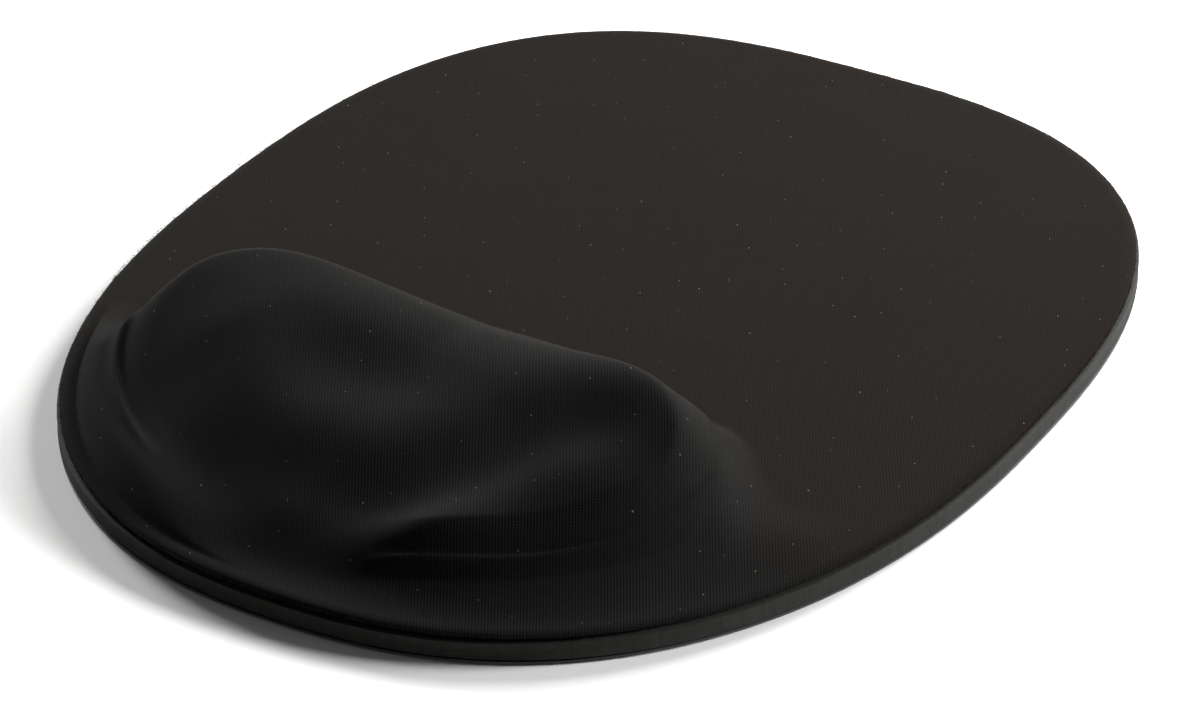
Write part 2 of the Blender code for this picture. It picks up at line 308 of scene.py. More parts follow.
@dataclass(frozen=True)
class CushionShape:
    """The moulded wrist cushion: a broad shoulder that carries a two-lobed hump with a bowl in it.

    The hump sits a little left of the pad's middle and slightly turned, as it was glued down. Its
    forms are given in its own axes, except that their Y is counted from the pad's middle.
    """

    outline: PadOutline
    mousing_surface: float = 6.8
    # The shoulder: a firm round front on the left, an easy slope elsewhere, and a far foot.
    shoulder_height: float = 8.3
    firm_left: tuple[float, float] = (5.0, 55.0)
    firm_slope: float = 18.84
    firm_ledge: float = 4.38
    easy_slope: float = 32.0
    easy_ledge: float = 2.5
    easier_x: float = -14.0
    easier_reach: float = 26.0
    easier_slope: float = 5.0
    far_foot_centre: float = -3.5
    far_foot_middle: float = -26.56
    far_foot_side: float = -45.31
    far_foot_turn: tuple[float, float] = (48.6, 76.6)
    far_foot_slope: float = 13.17
    far_foot_side_slope: float = 27.0
    # The hump's plan.
    hump_middle: tuple[float, float] = (-7.0, -60.8)
    hump_turn: float = -0.085
    hump_half_width: float = 71.2
    hump_front: float = -115.0
    hump_back: float = -24.99
    hump_front_squareness: float = 1.78
    hump_back_squareness: float = 2.67
    middle_bulge: float = 1.11
    middle_bulge_width: float = 22.0
    # Its walls: steep at the front, fuller at the back, eased where they flow into the shoulder.
    front_turn: tuple[float, float] = (-30.0, 0.0)
    wall_front: float = 9.6
    wall_back: float = 23.90
    wall_front_fullness: float = 1.19
    wall_back_fullness: float = 2.17
    easy_reach: float = 3.0
    # Its top, from the foot to the crest, and the forms that are laid on it.
    front_foot_height: float = 2.17
    crest_height: float = 12.35
    crest_y: float = -55.49
    middle_rounding: float = 3.0
    side_turn: tuple[float, float] = (-15.0, 15.0)
    lobe: Mound = Mound(28.8, -51.5, 42.1, 21.6, 8.6)
    bowl: Mound = Mound(0.0, -66.0, 30.0, 12.0, -1.0)
    apron: Mound = Mound(0.0, -92.0, 31.0, 18.0, 2.5)
    back_fill: Mound = Mound(50.3, -40.7, 21.3, 21.3, 3.9)
    ridge: Ridge = Ridge((24.5, -108.0), (66.0, -44.0), 7.0, 0.8)
    shelf: Ridge = Ridge((-3.1, -104.7), (38.4, -71.5), 13.75, 3.0)
    left_lobe: float = 0.80
    left_apron: float = 1.09
    left_ridge: float = 0.45
    left_shelf: float = 1.0
    # Finer forms: the height of a bell at each knot of a square grid, rows from front to back.
    relief_corner: tuple[float, float] = (-52.0, -108.0)
    relief_step: float = 12.0
    relief_width: float = 12.0
    relief_rows: tuple[tuple[float, ...], ...] = (
        (0.0, 0.0, -0.1, -0.4, -0.3, -0.2, 1.0, 3.7, 1.6, 0.1),
        (0.0, -0.1, 0.1, -0.7, -0.7, -1.2, -1.8, 2.2, 2.0, -0.2),
        (-0.1, -0.2, 0.8, 0.6, 1.7, 1.3, -1.1, -1.2, 1.9, 0.4),
        (-0.2, 0.2, 0.9, 0.6, 0.8, 0.8, 1.3, -2.0, -0.9, 1.7),
        (-0.5, -0.4, 0.3, 0.9, 0.7, -0.7, -0.1, -1.4, -2.2, -1.6),
        (-0.2, -0.2, 0.3, 0.6, 0.5, -0.2, -0.6, -0.2, 0.7, 0.8),
    )
    # The tight fold at the foot of each lobe: where it starts and ends, its lip and its grooves.
    fold_right: tuple[float, float] = (22.0, 31.0)
    fold_right_end: tuple[float, float] = (-24.0, -6.0)
    fold_left: tuple[float, float] = (30.0, 46.0)
    fold_left_end: tuple[float, float] = (-2.0, 12.0)
    lip_height: float = 0.85
    lip_inside: float = 2.4
    lip_width: float = 0.9
    groove_depth: float = 0.8
    groove_width: float = 1.4
    inner_groove: float = 2.0
    outer_groove: float = 2.3
    outer_share: float = 0.25

    def shoulder(self, x: Array, y: Array) -> Array:
        """Return the shoulder's height above the mousing surface."""
        turn = ramp(np.abs(x - self.far_foot_centre), *self.far_foot_turn)
        foot = blend(self.far_foot_middle, self.far_foot_side, turn)
        inside = self.outline.rim_distance(x, y)
        firm_front = quarter_round((inside - self.firm_ledge) / self.firm_slope)
        easier = self.easier_slope * bell((x - self.easier_x) / self.easier_reach)
        easy_front = smooth_step((inside - self.easy_ledge) / (self.easy_slope + easier))
        front = blend(easy_front, firm_front, ramp(-x, *self.firm_left))
        slope = blend(self.far_foot_slope, self.far_foot_side_slope, turn)
        return self.shoulder_height * front * smooth_step((foot - y) / slope)

    def hump_frame(self, x: Array, y: Array) -> tuple[Array, Array]:
        """Return positions across and along the hump, from its middle."""
        turn_x, turn_y = math.cos(self.hump_turn), math.sin(self.hump_turn)
        from_x = x - self.hump_middle[0]
        from_y = y - self.hump_middle[1]
        return from_x * turn_x + from_y * turn_y, from_y * turn_x - from_x * turn_y

    def hump_edge(self, across: Array, along: Array) -> Array:
        """Return the distance inside the hump's foot."""
        near = along < 0
        bulge = self.middle_bulge * bell(across / self.middle_bulge_width)
        front_reach = self.hump_middle[1] - self.hump_front
        reach = np.where(near, front_reach, self.hump_back + bulge - self.hump_middle[1])
        power = np.where(near, self.hump_front_squareness, self.hump_back_squareness)
        return inside_foot(across, along, self.hump_half_width, reach, power)

    def crown(self, across: Array, along: Array) -> Array:
        """Return the height of the hump's top above the mousing surface, before its walls."""
        side = np.sqrt(across * across + self.middle_rounding**2)
        y = along + self.hump_middle[1]
        climb = ramp(y, self.hump_front, self.crest_y)
        top = blend(self.front_foot_height, self.crest_height, climb)
        right = ramp(across, *self.side_turn)
        for form, place, left_share in (
            (self.lobe, side, self.left_lobe),
            (self.apron, across, self.left_apron),
            (self.ridge, side, self.left_ridge),
            (self.shelf, side, self.left_shelf),
        ):
            top = top + form.lift(place, y) * blend(left_share, 1.0, right)
        top = top + self.bowl.lift(across, y) + self.back_fill.lift(side, y)
        return top + self.relief(across, y)

    def relief(self, across: Array, y: Array) -> Array:
        """Return the finer forms of the hump."""
        total = np.zeros_like(across)
        for row, heights in enumerate(self.relief_rows):
            row_y = self.relief_corner[1] + row * self.relief_step
            near_row = bell((y - row_y) / self.relief_width)
            for column, height in enumerate(heights):
                column_x = self.relief_corner[0] + column * self.relief_step
                total += height * near_row * bell((across - column_x) / self.relief_width)
        return total

    def fold_share(self, across: Array, along: Array) -> Array:
        """Return 1 where the foot of a lobe is a tight fold, 0 where it flows into the shoulder."""
        right = ramp(across, *self.fold_right) * ramp(-along, *self.fold_right_end)
        return right + ramp(-across, *self.fold_left) * ramp(-along, *self.fold_left_end)

    def fold(self, distance: Array) -> Array:
        """Return the tight fold at a lobe's foot: a thin raised lip between two grooves."""
        beyond = distance - self.lip_inside
        lip = self.lip_height * bell(beyond / self.lip_width)
        inner = bell((beyond - self.inner_groove) / self.groove_width)
        outer = bell((beyond + self.outer_groove) / self.groove_width)
        return lip - self.groove_depth * (inner + self.outer_share * outer)

    def height(self, x: Array, y: Array) -> Array:
        """Return the height of the cloth's face above the desk.

        Args:
            x: distances from the middle, in millimetres.
            y: distances along the pad, in millimetres.

        Returns:
            Heights in millimetres.
        """
        shoulder = self.shoulder(x, y)
        across, along = self.hump_frame(x, y)
        distance = self.hump_edge(across, along)
        front = ramp(-along, *self.front_turn)
        width = blend(self.wall_back, self.wall_front, front)
        fullness = blend(self.wall_back_fullness, self.wall_front_fullness, front)
        tight = self.fold_share(across, along)
        firm_wall = 1.0 - (1.0 - np.clip(distance / width, 0.0, 1.0)) ** fullness
        easy_wall = smooth_step((distance + self.easy_reach) / (width + 2 * self.easy_reach))
        wall = blend(firm_wall, easy_wall, front * (1.0 - tight))
        rise = (self.crown(across, along) - shoulder) * wall
        return self.mousing_surface + shoulder + rise + self.fold(distance) * tight


# ---------------------------------------------------------------- finishes
@dataclass(frozen=True)
class StretchKnit:
    """Black polyester-elastane jersey, knitted fine and bonded to a thin backing.

    The eye sees matt near-black, with hardly a glint, a trace of pale sheen at grazing angles,
    faint rows of stitches with painted shade in the hollows between them, a slight brown tint
    where the cloth lies flat, and pale specks, partly dust and partly painted glints.
    """

    dark: str = "0b0b0b"
    pale: str = "161514"
    flat_tint: str = "140e08"
    dust_and_glint: str = "6f6b66"
    # Drawn about half as coarse again as a real jersey, so that the rows still show from 1 m away.
    wale_mm: float = 0.62
    course_mm: float = 0.46
    turn_deg: float = -30.0
    loop_share: float = 0.28
    fuzz_per_mm: float = 1.7
    fuzz_share: float = 0.9
    fuzz_roughness: float = 0.65
    stitch_depth_mm: float = 0.10
    cloud_per_mm: float = 0.028
    speck_spacing_mm: float = 11.0
    speck_radius_mm: float = 0.14
    ior: float = 1.5  # polyester
    specular: float = 0.02  # the open loops trap nearly all of the surface glint
    roughness: float = 0.88
    sheen: float = 0.02
    sheen_roughness: float = 0.42
    sheen_tint: tuple[float, float, float, float] = (1.0, 0.97, 0.93, 1.0)

    def make(self) -> Material:
        """Return the cloth's material."""
        material, tree, shader = new_material("black_stretch_knit")
        turned = own_place(tree, self.turn_deg)
        relief = self.stitches(tree, turned)
        # The stitch relief also sets the colour: painted shade darkens the hollows between the
        # loops, while the fuzz adds uneven fibre tone.
        limits = {"Value": relief, "From Min": 0.35, "From Max": 1.35}
        shade = add_node(tree, "ShaderNodeMapRange", limits).outputs["Result"]
        yarn = mix_colours(tree, shade, linear(self.dark), linear(self.pale))
        finish = {
            "Base Color": self.tint_dust_and_glints(tree, turned, yarn),
            "Normal": bump(tree, relief, 0.55, self.stitch_depth_mm),
            "Roughness": self.roughness,
            "IOR": self.ior,
            "Specular IOR Level": self.specular,
            "Sheen Weight": self.sheen,
            "Sheen Roughness": self.sheen_roughness,
            "Sheen Tint": self.sheen_tint,
        }
        feed(tree, shader, finish)
        return material

    def stitches(self, tree: Tree, turned: Socket) -> Socket:
        """Return the height of the stitches, from 0 to about 1.5, in rows of V shapes."""
        axes = add_node(tree, "ShaderNodeSeparateXYZ", {"Vector": turned}).outputs
        rib_angle = calculate(tree, "MULTIPLY", axes["X"], math.pi / self.wale_mm)
        rib = calculate(tree, "ABSOLUTE", calculate(tree, "SINE", rib_angle))
        course_angle = calculate(tree, "MULTIPLY", axes["Y"], FULL_TURN / self.course_mm)
        chevron = calculate(tree, "MULTIPLY_ADD", rib, math.pi, course_angle)
        wave = calculate(tree, "SINE", chevron)
        loop = calculate(tree, "MULTIPLY_ADD", wave, self.loop_share, 1.0 - self.loop_share)
        stitch = calculate(tree, "MULTIPLY", rib, loop)
        fuzz = noise(tree, turned, self.fuzz_per_mm, 4.0, self.fuzz_roughness)
        return calculate(tree, "MULTIPLY_ADD", fuzz, self.fuzz_share, stitch)

    def tint_dust_and_glints(self, tree: Tree, turned: Socket, yarn: Socket) -> Socket:
        """Return the stitch colours with the flat cloth's tint, and pale specks on top: partly
        dust, partly painted glints.
        """
        cloudy = noise(tree, turned, self.cloud_per_mm, 2.0)
        flat = add_node(tree, "ShaderNodeAttribute", attribute_name="flatness").outputs["Fac"]
        tint_share = calculate(tree, "MULTIPLY", cloudy, flat)
        tinted = mix_colours(tree, tint_share, yarn, linear(self.flat_tint))
        # Pale specks in a few random cells: partly dust, partly painted glints of the knit's sheen.
        spacing = {"Vector": turned, "Scale": 1 / self.speck_spacing_mm, "Randomness": 1.0}
        cells = add_node(tree, "ShaderNodeTexVoronoi", spacing, voronoi_dimensions="2D").outputs
        reach = self.speck_radius_mm / self.speck_spacing_mm
        near = calculate(tree, "LESS_THAN", cells["Distance"], reach)
        luck = add_node(tree, "ShaderNodeSeparateColor", {"Color": cells["Color"]}).outputs["Red"]
        return mix_colours(tree, calculate(tree, "MULTIPLY", near, luck), tinted, linear(self.dust_and_glint))


@dataclass(frozen=True)
class ClosedCellFoam:
    """Die-cut closed-cell foam.

    The eye sees a matt wall with fine cut cells and faint upright drag lines from the die.
    """

    name: str = "die_cut_black_foam"
    dark: str = "1a1a19"
    pale: str = "272725"
    cell_mm: float = 0.35
    roughness: float = 0.78
    ior: float = 1.5  # rubbery polymer
    specular: float = 0.12  # most of the surface is open cells
    drag_stretch: float = 0.12
    drag_per_mm: float = 1.1

    def make(self) -> Material:
        """Return the foam's material."""
        material, tree, shader = new_material(self.name)
        place = own_place(tree)
        sizes = {"Vector": place, "Scale": 1 / self.cell_mm}
        cells = add_node(tree, "ShaderNodeTexVoronoi", sizes, feature="SMOOTH_F1")
        stretch = {"Vector": place, "Scale": (1.0, 1.0, self.drag_stretch)}
        upright = add_node(tree, "ShaderNodeMapping", stretch).outputs["Vector"]
        drag = noise(tree, upright, self.drag_per_mm, 3.0)
        mixed = calculate(tree, "MULTIPLY_ADD", cells.outputs["Distance"], 0.5, drag)
        limits = {"Value": mixed, "From Min": 0.4, "From Max": 1.0}
        share = add_node(tree, "ShaderNodeMapRange", limits).outputs["Result"]
        finish = {
            "Base Color": mix_colours(tree, share, linear(self.dark), linear(self.pale)),
            "Normal": bump(tree, mixed, 0.35, 0.08),
            "Roughness": self.roughness,
            "IOR": self.ior,
            "Specular IOR Level": self.specular,
        }
        feed(tree, shader, finish)
        return material


@dataclass(frozen=True)
class GripRubber:
    """Calendered black rubber: the eye sees a satin sheet, a little dusty, bluer than the cloth."""

    dark: str = "19191a"
    pale: str = "262627"
    grain_mm: float = 0.6
    dust_per_mm: float = 0.05
    roughness: float = 0.62
    ior: float = 1.52  # natural rubber

    def make(self) -> Material:
        """Return the rubber's material."""
        material, tree, shader = new_material("calendered_black_rubber")
        place = own_place(tree)
        grain = noise(tree, place, 1 / self.grain_mm, 5.0)
        share = calculate(tree, "MULTIPLY", grain, noise(tree, place, self.dust_per_mm, 3.0))
        finish = {
            "Base Color": mix_colours(tree, share, linear(self.dark), linear(self.pale)),
            "Normal": bump(tree, grain, 0.3, 0.05),
            "Roughness": self.roughness,
            "IOR": self.ior,
        }
        feed(tree, shader, finish)
        return material


@dataclass(frozen=True)
class ClearElastomer:
    """A clear soft plastic, the gel or its film: the eye sees a bluish, faintly clouded glass."""

    name: str
    tint: str
    roughness: float
    ior: float
    transmission: float
    cloud_mm: float = 9.0
    cloud_tint: str = "dfe8ee"

    def make(self) -> Material:
        """Return the material, with faint clouding inside."""
        material, tree, shader = new_material(self.name)
        cloud = noise(tree, own_place(tree), 1 / self.cloud_mm, 2.0)
        finish = {
            "Base Color": mix_colours(tree, cloud, linear(self.tint), linear(self.cloud_tint)),
            "Roughness": self.roughness,
            "IOR": self.ior,
            "Transmission Weight": self.transmission,
        }
        feed(tree, shader, finish)
        return material


@dataclass(frozen=True)
class StudioPaper:
    """Seamless white background paper: the eye sees a dead matt white."""

    colour: str = "f4f4f3"
    roughness: float = 0.95
    specular: float = 0.1

    def make(self) -> Material:
        """Return the paper's material."""
        material, tree, shader = new_material("white_background_paper")
        finish = {
            "Base Color": linear(self.colour),
            "Roughness": self.roughness,
            "Specular IOR Level": self.specular,
        }
        feed(tree, shader, finish)
        return material


# ---------------------------------------------------------------- mesh builders
def mesh_piece(
    name: str, points: Array, faces: Faces, material: Material, smooth_deg: float = 60.0
) -> Object:
    """Make an object from points in millimetres and faces.

    Args:
        name: the piece's name.
        points: one row of X, Y and Z per point, in millimetres.
        faces: tuples of point numbers.
        material: the piece's finish.
        smooth_deg: edges sharper than this stay sharp.

    Returns:
        The new object, at the origin.
    """
    mesh = bpy.data.meshes.new(name)
    mesh.from_pydata((points * MM).tolist(), [], faces)
    mesh.validate()
    mesh.shade_smooth()
    mesh.set_sharp_from_angle(angle=math.radians(smooth_deg))
    mesh.materials.append(material)
    return add_object(name, mesh)


def grid_faces(columns: int, rows: int, first: int = 0, flip: bool = False) -> Faces:
    """Return the quads of a grid whose points run along X first."""
    faces = []
    across = columns + 1
    for row in range(rows):
        for column in range(columns):
            corner = first + row * across + column
            quad = (corner, corner + 1, corner + across + 1, corner + across)
            faces.append(quad[::-1] if flip else quad)
    return faces


def grid_edge(columns: int, rows: int) -> list[int]:
    """Return the numbers of a grid's edge points, anticlockwise from its first corner."""
    across = columns + 1
    near = list(range(columns))
    right = [row * across + columns for row in range(rows)]
    far = [rows * across + columns - column for column in range(columns)]
    left = [(rows - row) * across for row in range(rows)]
    return near + right + far + left


def ring_faces(inner: list[int], outer: list[int]) -> Faces:
    """Return the quads between two closed rings of points, facing away from the first."""
    after = {i: (i + 1) % len(inner) for i in range(len(inner))}
    return [(inner[i], outer[i], outer[after[i]], inner[after[i]]) for i in after]


def disc_grid(columns: int, rows: int, crowding: float = 0.0) -> tuple[Array, Array]:
    """Return a grid over the unit disc, its rows crowded towards the near side.

    Args:
        columns: cells across.
        rows: cells along.
        crowding: from 0, even, to under 0.5, very crowded.

    Returns:
        Disc coordinates across and along, point by point.
    """
    u, v = np.meshgrid(np.linspace(-1, 1, columns + 1), np.linspace(-1, 1, rows + 1))
    v = v + crowding * (v * v - 1.0)
    across = u * np.sqrt(1.0 - v * v / 2.0)
    along = v * np.sqrt(1.0 - u * u / 2.0)
    return across.ravel(), along.ravel()


def circle_angles(count: int) -> Array:
    """Return evenly spaced angles once round."""
    return np.linspace(0, FULL_TURN, count, endpoint=False)


def uneven_line(
    angles: Array, size: float, seed: int, waves: tuple[int, ...] = (5, 11, 23, 47, 96, 151)
) -> Array:
    """Return a smooth closed wander along an edge, the same each run.

    Args:
        angles: position along the edge, in radians.
        size: about how far it wanders.
        seed: which wander.
        waves: how many waves each part of it has.

    Returns:
        The offset at each angle.
    """
    random = np.random.default_rng(seed)
    total = np.zeros_like(angles)
    for count in waves:
        total += np.sin(count * angles + random.uniform(0, FULL_TURN)) * random.uniform(0.4, 1.0)
    return total * size / math.sqrt(len(waves))


def ring_body(
    name: str, rings: list[Array], material: Material, smooth_deg: float = 40.0
) -> Object:
    """Close a stack of rings into a body, with a fan to the middle at each end.

    Args:
        name: the piece's name.
        rings: rings of points in millimetres, anticlockwise from above, which run outwards
            below and inwards on top.
        material: the piece's finish.
        smooth_deg: edges sharper than this stay sharp.

    Returns:
        The closed body.
    """
    count = len(rings[0])
    start = rings[0].mean(axis=0)
    end = rings[-1].mean(axis=0)
    points = np.vstack([start, *rings, end])
    following = [(i + 1) % count for i in range(count)]
    faces: Faces = [(0, 1 + following[i], 1 + i) for i in range(count)]
    for level in range(len(rings) - 1):
        low = 1 + level * count
        high = low + count
        faces += [
            (low + i, low + following[i], high + following[i], high + i) for i in range(count)
        ]
    last = 1 + (len(rings) - 1) * count
    faces += [(last + count, last + i, last + following[i]) for i in range(count)]
    return mesh_piece(name, points, faces, material, smooth_deg)


def plan_ring(plan: PadOutline, angles: Array, inset: float, z: Array | float) -> Array:
    """Return a ring of points along a plan outline drawn in by an inset, at a height."""
    x, y = plan.from_disc(np.cos(angles), np.sin(angles), inset)
    return np.column_stack([x, y, np.broadcast_to(z, x.shape)])


def profile_rings(
    plan: PadOutline, angles: Array, profile: Profile, level: Array | float
) -> list[Array]:
    """Return one ring for each inset of a profile, at its height over a level."""
    return [plan_ring(plan, angles, inset, level + rise) for inset, rise in profile]


def flat_at(z: float) -> HeightField:
    """Return a level surface."""
    return lambda x, y: np.full_like(x, z)


def shrunk_rings(
    plan: PadOutline, angles: Array, shares: Iterable[float], surface: HeightField
) -> list[Array]:
    """Return rings that fill a plan outline, each lying on a surface.

    Args:
        plan: the outline.
        angles: the rings' points, as angles.
        shares: each ring's size, as a share of the outline.
        surface: height over X and Y.

    Returns:
        One ring for each share.
    """
    x, y = plan.from_disc(np.cos(angles), np.sin(angles))
    rings = []
    for share in shares:
        ring_x = x * share
        ring_y = plan.widest_y + (y - plan.widest_y) * share
        rings.append(np.column_stack([ring_x, ring_y, surface(ring_x, ring_y)]))
    return rings


def dress(piece: Object, slot: str, *nodes: str) -> Object:
    """Ride a piece on the pad's body, hide the CAD nodes that it stands for, and log its size."""
    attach(piece, BODY)
    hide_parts(*nodes)
    faces = sum(len(face.vertices) - 2 for face in piece.data.polygons)
    LOG.info("%s: %d triangles", piece.name, faces)
    return piece


# ---------------------------------------------------------------- Geometry Nodes
def new_tree(name: str, inputs: dict[str, tuple[str, object]]) -> tuple[Tree, object]:
    """Start a node group that turns points into pieces.

    Args:
        name: the group's name.
        inputs: name of each size that it takes, to its socket kind and its usual value.

    Returns:
        The group, and the outputs of its input node.
    """
    tree = bpy.data.node_groups.new(name, "GeometryNodeTree")
    tree.interface.new_socket("Geometry", in_out="INPUT", socket_type="NodeSocketGeometry")
    for label, (kind, value) in inputs.items():
        tree.interface.new_socket(label, in_out="INPUT", socket_type=kind).default_value = value
    tree.interface.new_socket("Material", in_out="INPUT", socket_type="NodeSocketMaterial")
    tree.interface.new_socket("Geometry", in_out="OUTPUT", socket_type="NodeSocketGeometry")
    return tree, add_node(tree, "NodeGroupInput").outputs


def place_on_points(tree: Tree, source: object, piece: Socket, placing: dict | None = None) -> None:
    """End a node group: a piece on each point, made real, with the material.

    Args:
        tree: the group.
        source: the outputs of its input node.
        piece: what stands on each point.
        placing: its Rotation and Scale, where they vary.
    """
    inputs = {"Points": source["Geometry"], "Instance": piece, **(placing or {})}
    placed = add_node(tree, "GeometryNodeInstanceOnPoints", inputs).outputs["Instances"]
    real = add_node(tree, "GeometryNodeRealizeInstances", {"Geometry": placed}).outputs["Geometry"]
    inputs = {"Geometry": real, "Material": source["Material"]}
    dressed = add_node(tree, "GeometryNodeSetMaterial", inputs).outputs["Geometry"]
    add_node(tree, "NodeGroupOutput", {"Geometry": dressed})


def run_tree(tree: Tree, carrier: Object, name: str, sizes: dict) -> Object:
    """Run a node group on a carrier object and keep its result as a plain mesh.

    Args:
        tree: the node group.
        carrier: the object that it runs on, which is removed afterwards.
        name: the new piece's name.
        sizes: values for the group's named inputs.

    Returns:
        The new object, at the origin.
    """
    modifier = carrier.modifiers.new(tree.name, "NODES")
    modifier.node_group = tree
    for item in tree.interface.items_tree:
        if item.item_type == "SOCKET" and item.in_out == "INPUT" and item.name in sizes:
            modifier[item.identifier] = sizes[item.name]
    depsgraph = bpy.context.evaluated_depsgraph_get()
    depsgraph.update()
    mesh = bpy.data.meshes.new_from_object(carrier.evaluated_get(depsgraph))
    mesh.name = name
    bpy.data.objects.remove(carrier)
    return add_object(name, mesh)


def loose_points(name: str, points: Array, directions: Array | None = None) -> Object:
    """Return an object of loose points in millimetres, with a direction on each where given."""
    mesh = bpy.data.meshes.new(name)
    mesh.from_pydata((points * MM).tolist(), [], [])
    if directions is not None:
        attribute = mesh.attributes.new("lean", "FLOAT_VECTOR", "POINT")
        attribute.data.foreach_set("vector", directions.astype(np.float32).ravel())
    return add_object(name, mesh)


def stud_tree() -> Tree:
    """Return the tree that puts a small moulded stud under each point."""
    sizes = {
        "Foot Radius": ("NodeSocketFloat", 0.001),
        "Face Radius": ("NodeSocketFloat", 0.0008),
        "Relief": ("NodeSocketFloat", 0.0004),
        "Sides": ("NodeSocketInt", 8),
    }
    tree, source = new_tree("grip_studs", sizes)
    cone = {
        "Vertices": source["Sides"],
        "Radius Top": source["Foot Radius"],
        "Radius Bottom": source["Face Radius"],
        "Depth": source["Relief"],
    }
    stud = add_node(tree, "GeometryNodeMeshCone", cone).outputs["Mesh"]
    place_on_points(tree, source, stud)
    return tree


def fibre_tree() -> Tree:
    """Return the tree that plants one short yarn end on each point, leaning as its point says."""
    sizes = {
        "Length": ("NodeSocketFloat", 0.001),
        "Thickness": ("NodeSocketFloat", 0.00006),
        "Shortest": ("NodeSocketFloat", 0.35),
        "Longest": ("NodeSocketFloat", 1.25),
        "Seed": ("NodeSocketInt", 7),
    }
    tree, source = new_tree("yarn_ends", sizes)
    cone = {"Vertices": 3, "Side Segments": 2, "Radius Top": 0.3}
    cone |= {"Radius Bottom": 1.0, "Depth": 1.0}
    yarn = add_node(tree, "GeometryNodeMeshCone", cone).outputs["Mesh"]
    kind, name = "GeometryNodeInputNamedAttribute", {"Name": "lean"}
    lean = {"Vector": add_node(tree, kind, name, data_type="FLOAT_VECTOR").outputs["Attribute"]}
    turn = add_node(tree, "FunctionNodeAlignRotationToVector", lean, axis="Z").outputs["Rotation"]
    limits = {"Min": source["Shortest"], "Max": source["Longest"], "Seed": source["Seed"]}
    spread = add_node(tree, "FunctionNodeRandomValue", limits, data_type="FLOAT").outputs["Value"]
    axes = {
        "X": source["Thickness"],
        "Y": source["Thickness"],
        "Z": calculate(tree, "MULTIPLY", spread, source["Length"]),
    }
    scale = add_node(tree, "ShaderNodeCombineXYZ", axes).outputs["Vector"]
    place_on_points(tree, source, yarn, {"Rotation": turn, "Scale": scale})
    return tree


# ---------------------------------------------------------------- sub-assemblies
@dataclass
class BasePad:
    """The pad's body: a die-cut foam slab with a studded rubber sheet bonded under it."""

    outline: PadOutline
    foam: ClosedCellFoam = ClosedCellFoam()
    rubber: GripRubber = GripRubber()
    edge_points: int = 720
    # The rubber sheet: insets from the outline and heights over its bottom and its top.
    rubber_bottom: float = 0.35
    rubber_top: float = 1.0
    rubber_foot: Profile = ((60.0, 0.0), (5.0, 0.0), (0.45, 0.0), (0.15, 0.2))
    rubber_crown: Profile = ((0.15, -0.12), (0.3, 0.0), (5.0, 0.0), (60.0, 0.0))
    # The slab, in the same way. Its lip and crown are counted from the top of its wall.
    slab_bottom: float = 1.3
    slab_edge_top: float = 5.0
    slab_foot: Profile = ((60.0, 0.0), (6.0, 0.0), (1.0, 0.0), (0.22, 0.0), (0.05, 0.2))
    slab_lip: Profile = ((0.08, -0.12), (0.28, 0.0))
    slab_crown: Profile = ((1.4, 0.12), (3.2, 0.5), (60.0, 0.5))
    wall_inset: float = 0.03
    wall_hollow: float = 0.35
    wall_from: float = 0.12
    wall_to: float = 0.88
    wall_rings: int = 6
    edge_wander: float = 0.054
    # The studs, on a lattice wider than the pad, and how far they reach into the sheet.
    stud_rows: int = 40
    stud_columns: int = 30
    stud_pitch: float = 4.0
    stud_foot: float = 1.15
    stud_face: float = 0.85
    stud_margin: float = 3.0
    stud_root: float = 0.05

    def build_slab(self) -> Object:
        """Return the foam slab, its wall pressed slightly hollow by the die."""
        angles = circle_angles(self.edge_points)
        wander = uneven_line(angles, self.edge_wander, seed=11, waves=(7, 19, 41, 83))
        rings = profile_rings(self.outline, angles, self.slab_foot, self.slab_bottom)
        for share in np.linspace(self.wall_from, self.wall_to, self.wall_rings):
            inset = self.wall_inset + self.wall_hollow * math.sin(math.pi * share)
            z = blend(self.slab_bottom, self.slab_edge_top, share)
            rings.append(plan_ring(self.outline, angles, inset, z))
        rings += profile_rings(self.outline, angles, self.slab_lip, self.slab_edge_top + wander)
        rings += profile_rings(self.outline, angles, self.slab_crown, self.slab_edge_top)
        return ring_body("foam_slab_die_cut", rings, self.foam.make())

    def build_rubber(self, material: Material) -> Object:
        """Return the rubber sheet with its studs, as one piece."""
        angles = circle_angles(self.edge_points)
        rings = profile_rings(self.outline, angles, self.rubber_foot, self.rubber_bottom)
        rings += profile_rings(self.outline, angles, self.rubber_crown, self.rubber_top)
        sheet = ring_body("anti_slip_rubber_sheet", rings, material)
        studs = self.build_studs(material)
        bpy.ops.object.select_all(action="DESELECT")
        studs.select_set(True)
        sheet.select_set(True)
        bpy.context.view_layer.objects.active = sheet
        bpy.ops.object.join()
        return sheet

    def build_studs(self, material: Material) -> Object:
        """Return the grip studs, one on each point of a triangular lattice."""
        columns, rows = np.meshgrid(
            np.arange(-self.stud_columns, self.stud_columns + 1),
            np.arange(-self.stud_rows, self.stud_rows + 1),
        )
        x = (self.stud_pitch * (columns + 0.5 * (rows % 2))).ravel()
        y = (rows * (self.stud_pitch * math.sqrt(3) / 2)).ravel()
        inside = self.outline.rim_distance(x, y) > self.stud_margin
        x, y = x[inside], y[inside]
        sizes = {
            "Foot Radius": self.stud_foot * MM,
            "Face Radius": self.stud_face * MM,
            "Relief": (self.rubber_bottom + self.stud_root) * MM,
            "Material": material,
        }
        carrier = loose_points("stud_points", np.column_stack([x, y, np.zeros_like(x)]))
        return run_tree(stud_tree(), carrier, "grip_studs", sizes)

    def build(self) -> None:
        """Build and dress the slab and the rubber."""
        dress(self.build_slab(), "slab_foam", "foam_slab")
        dress(self.build_rubber(self.rubber.make()), "anti_slip_rubber", "anti_slip_sheet")


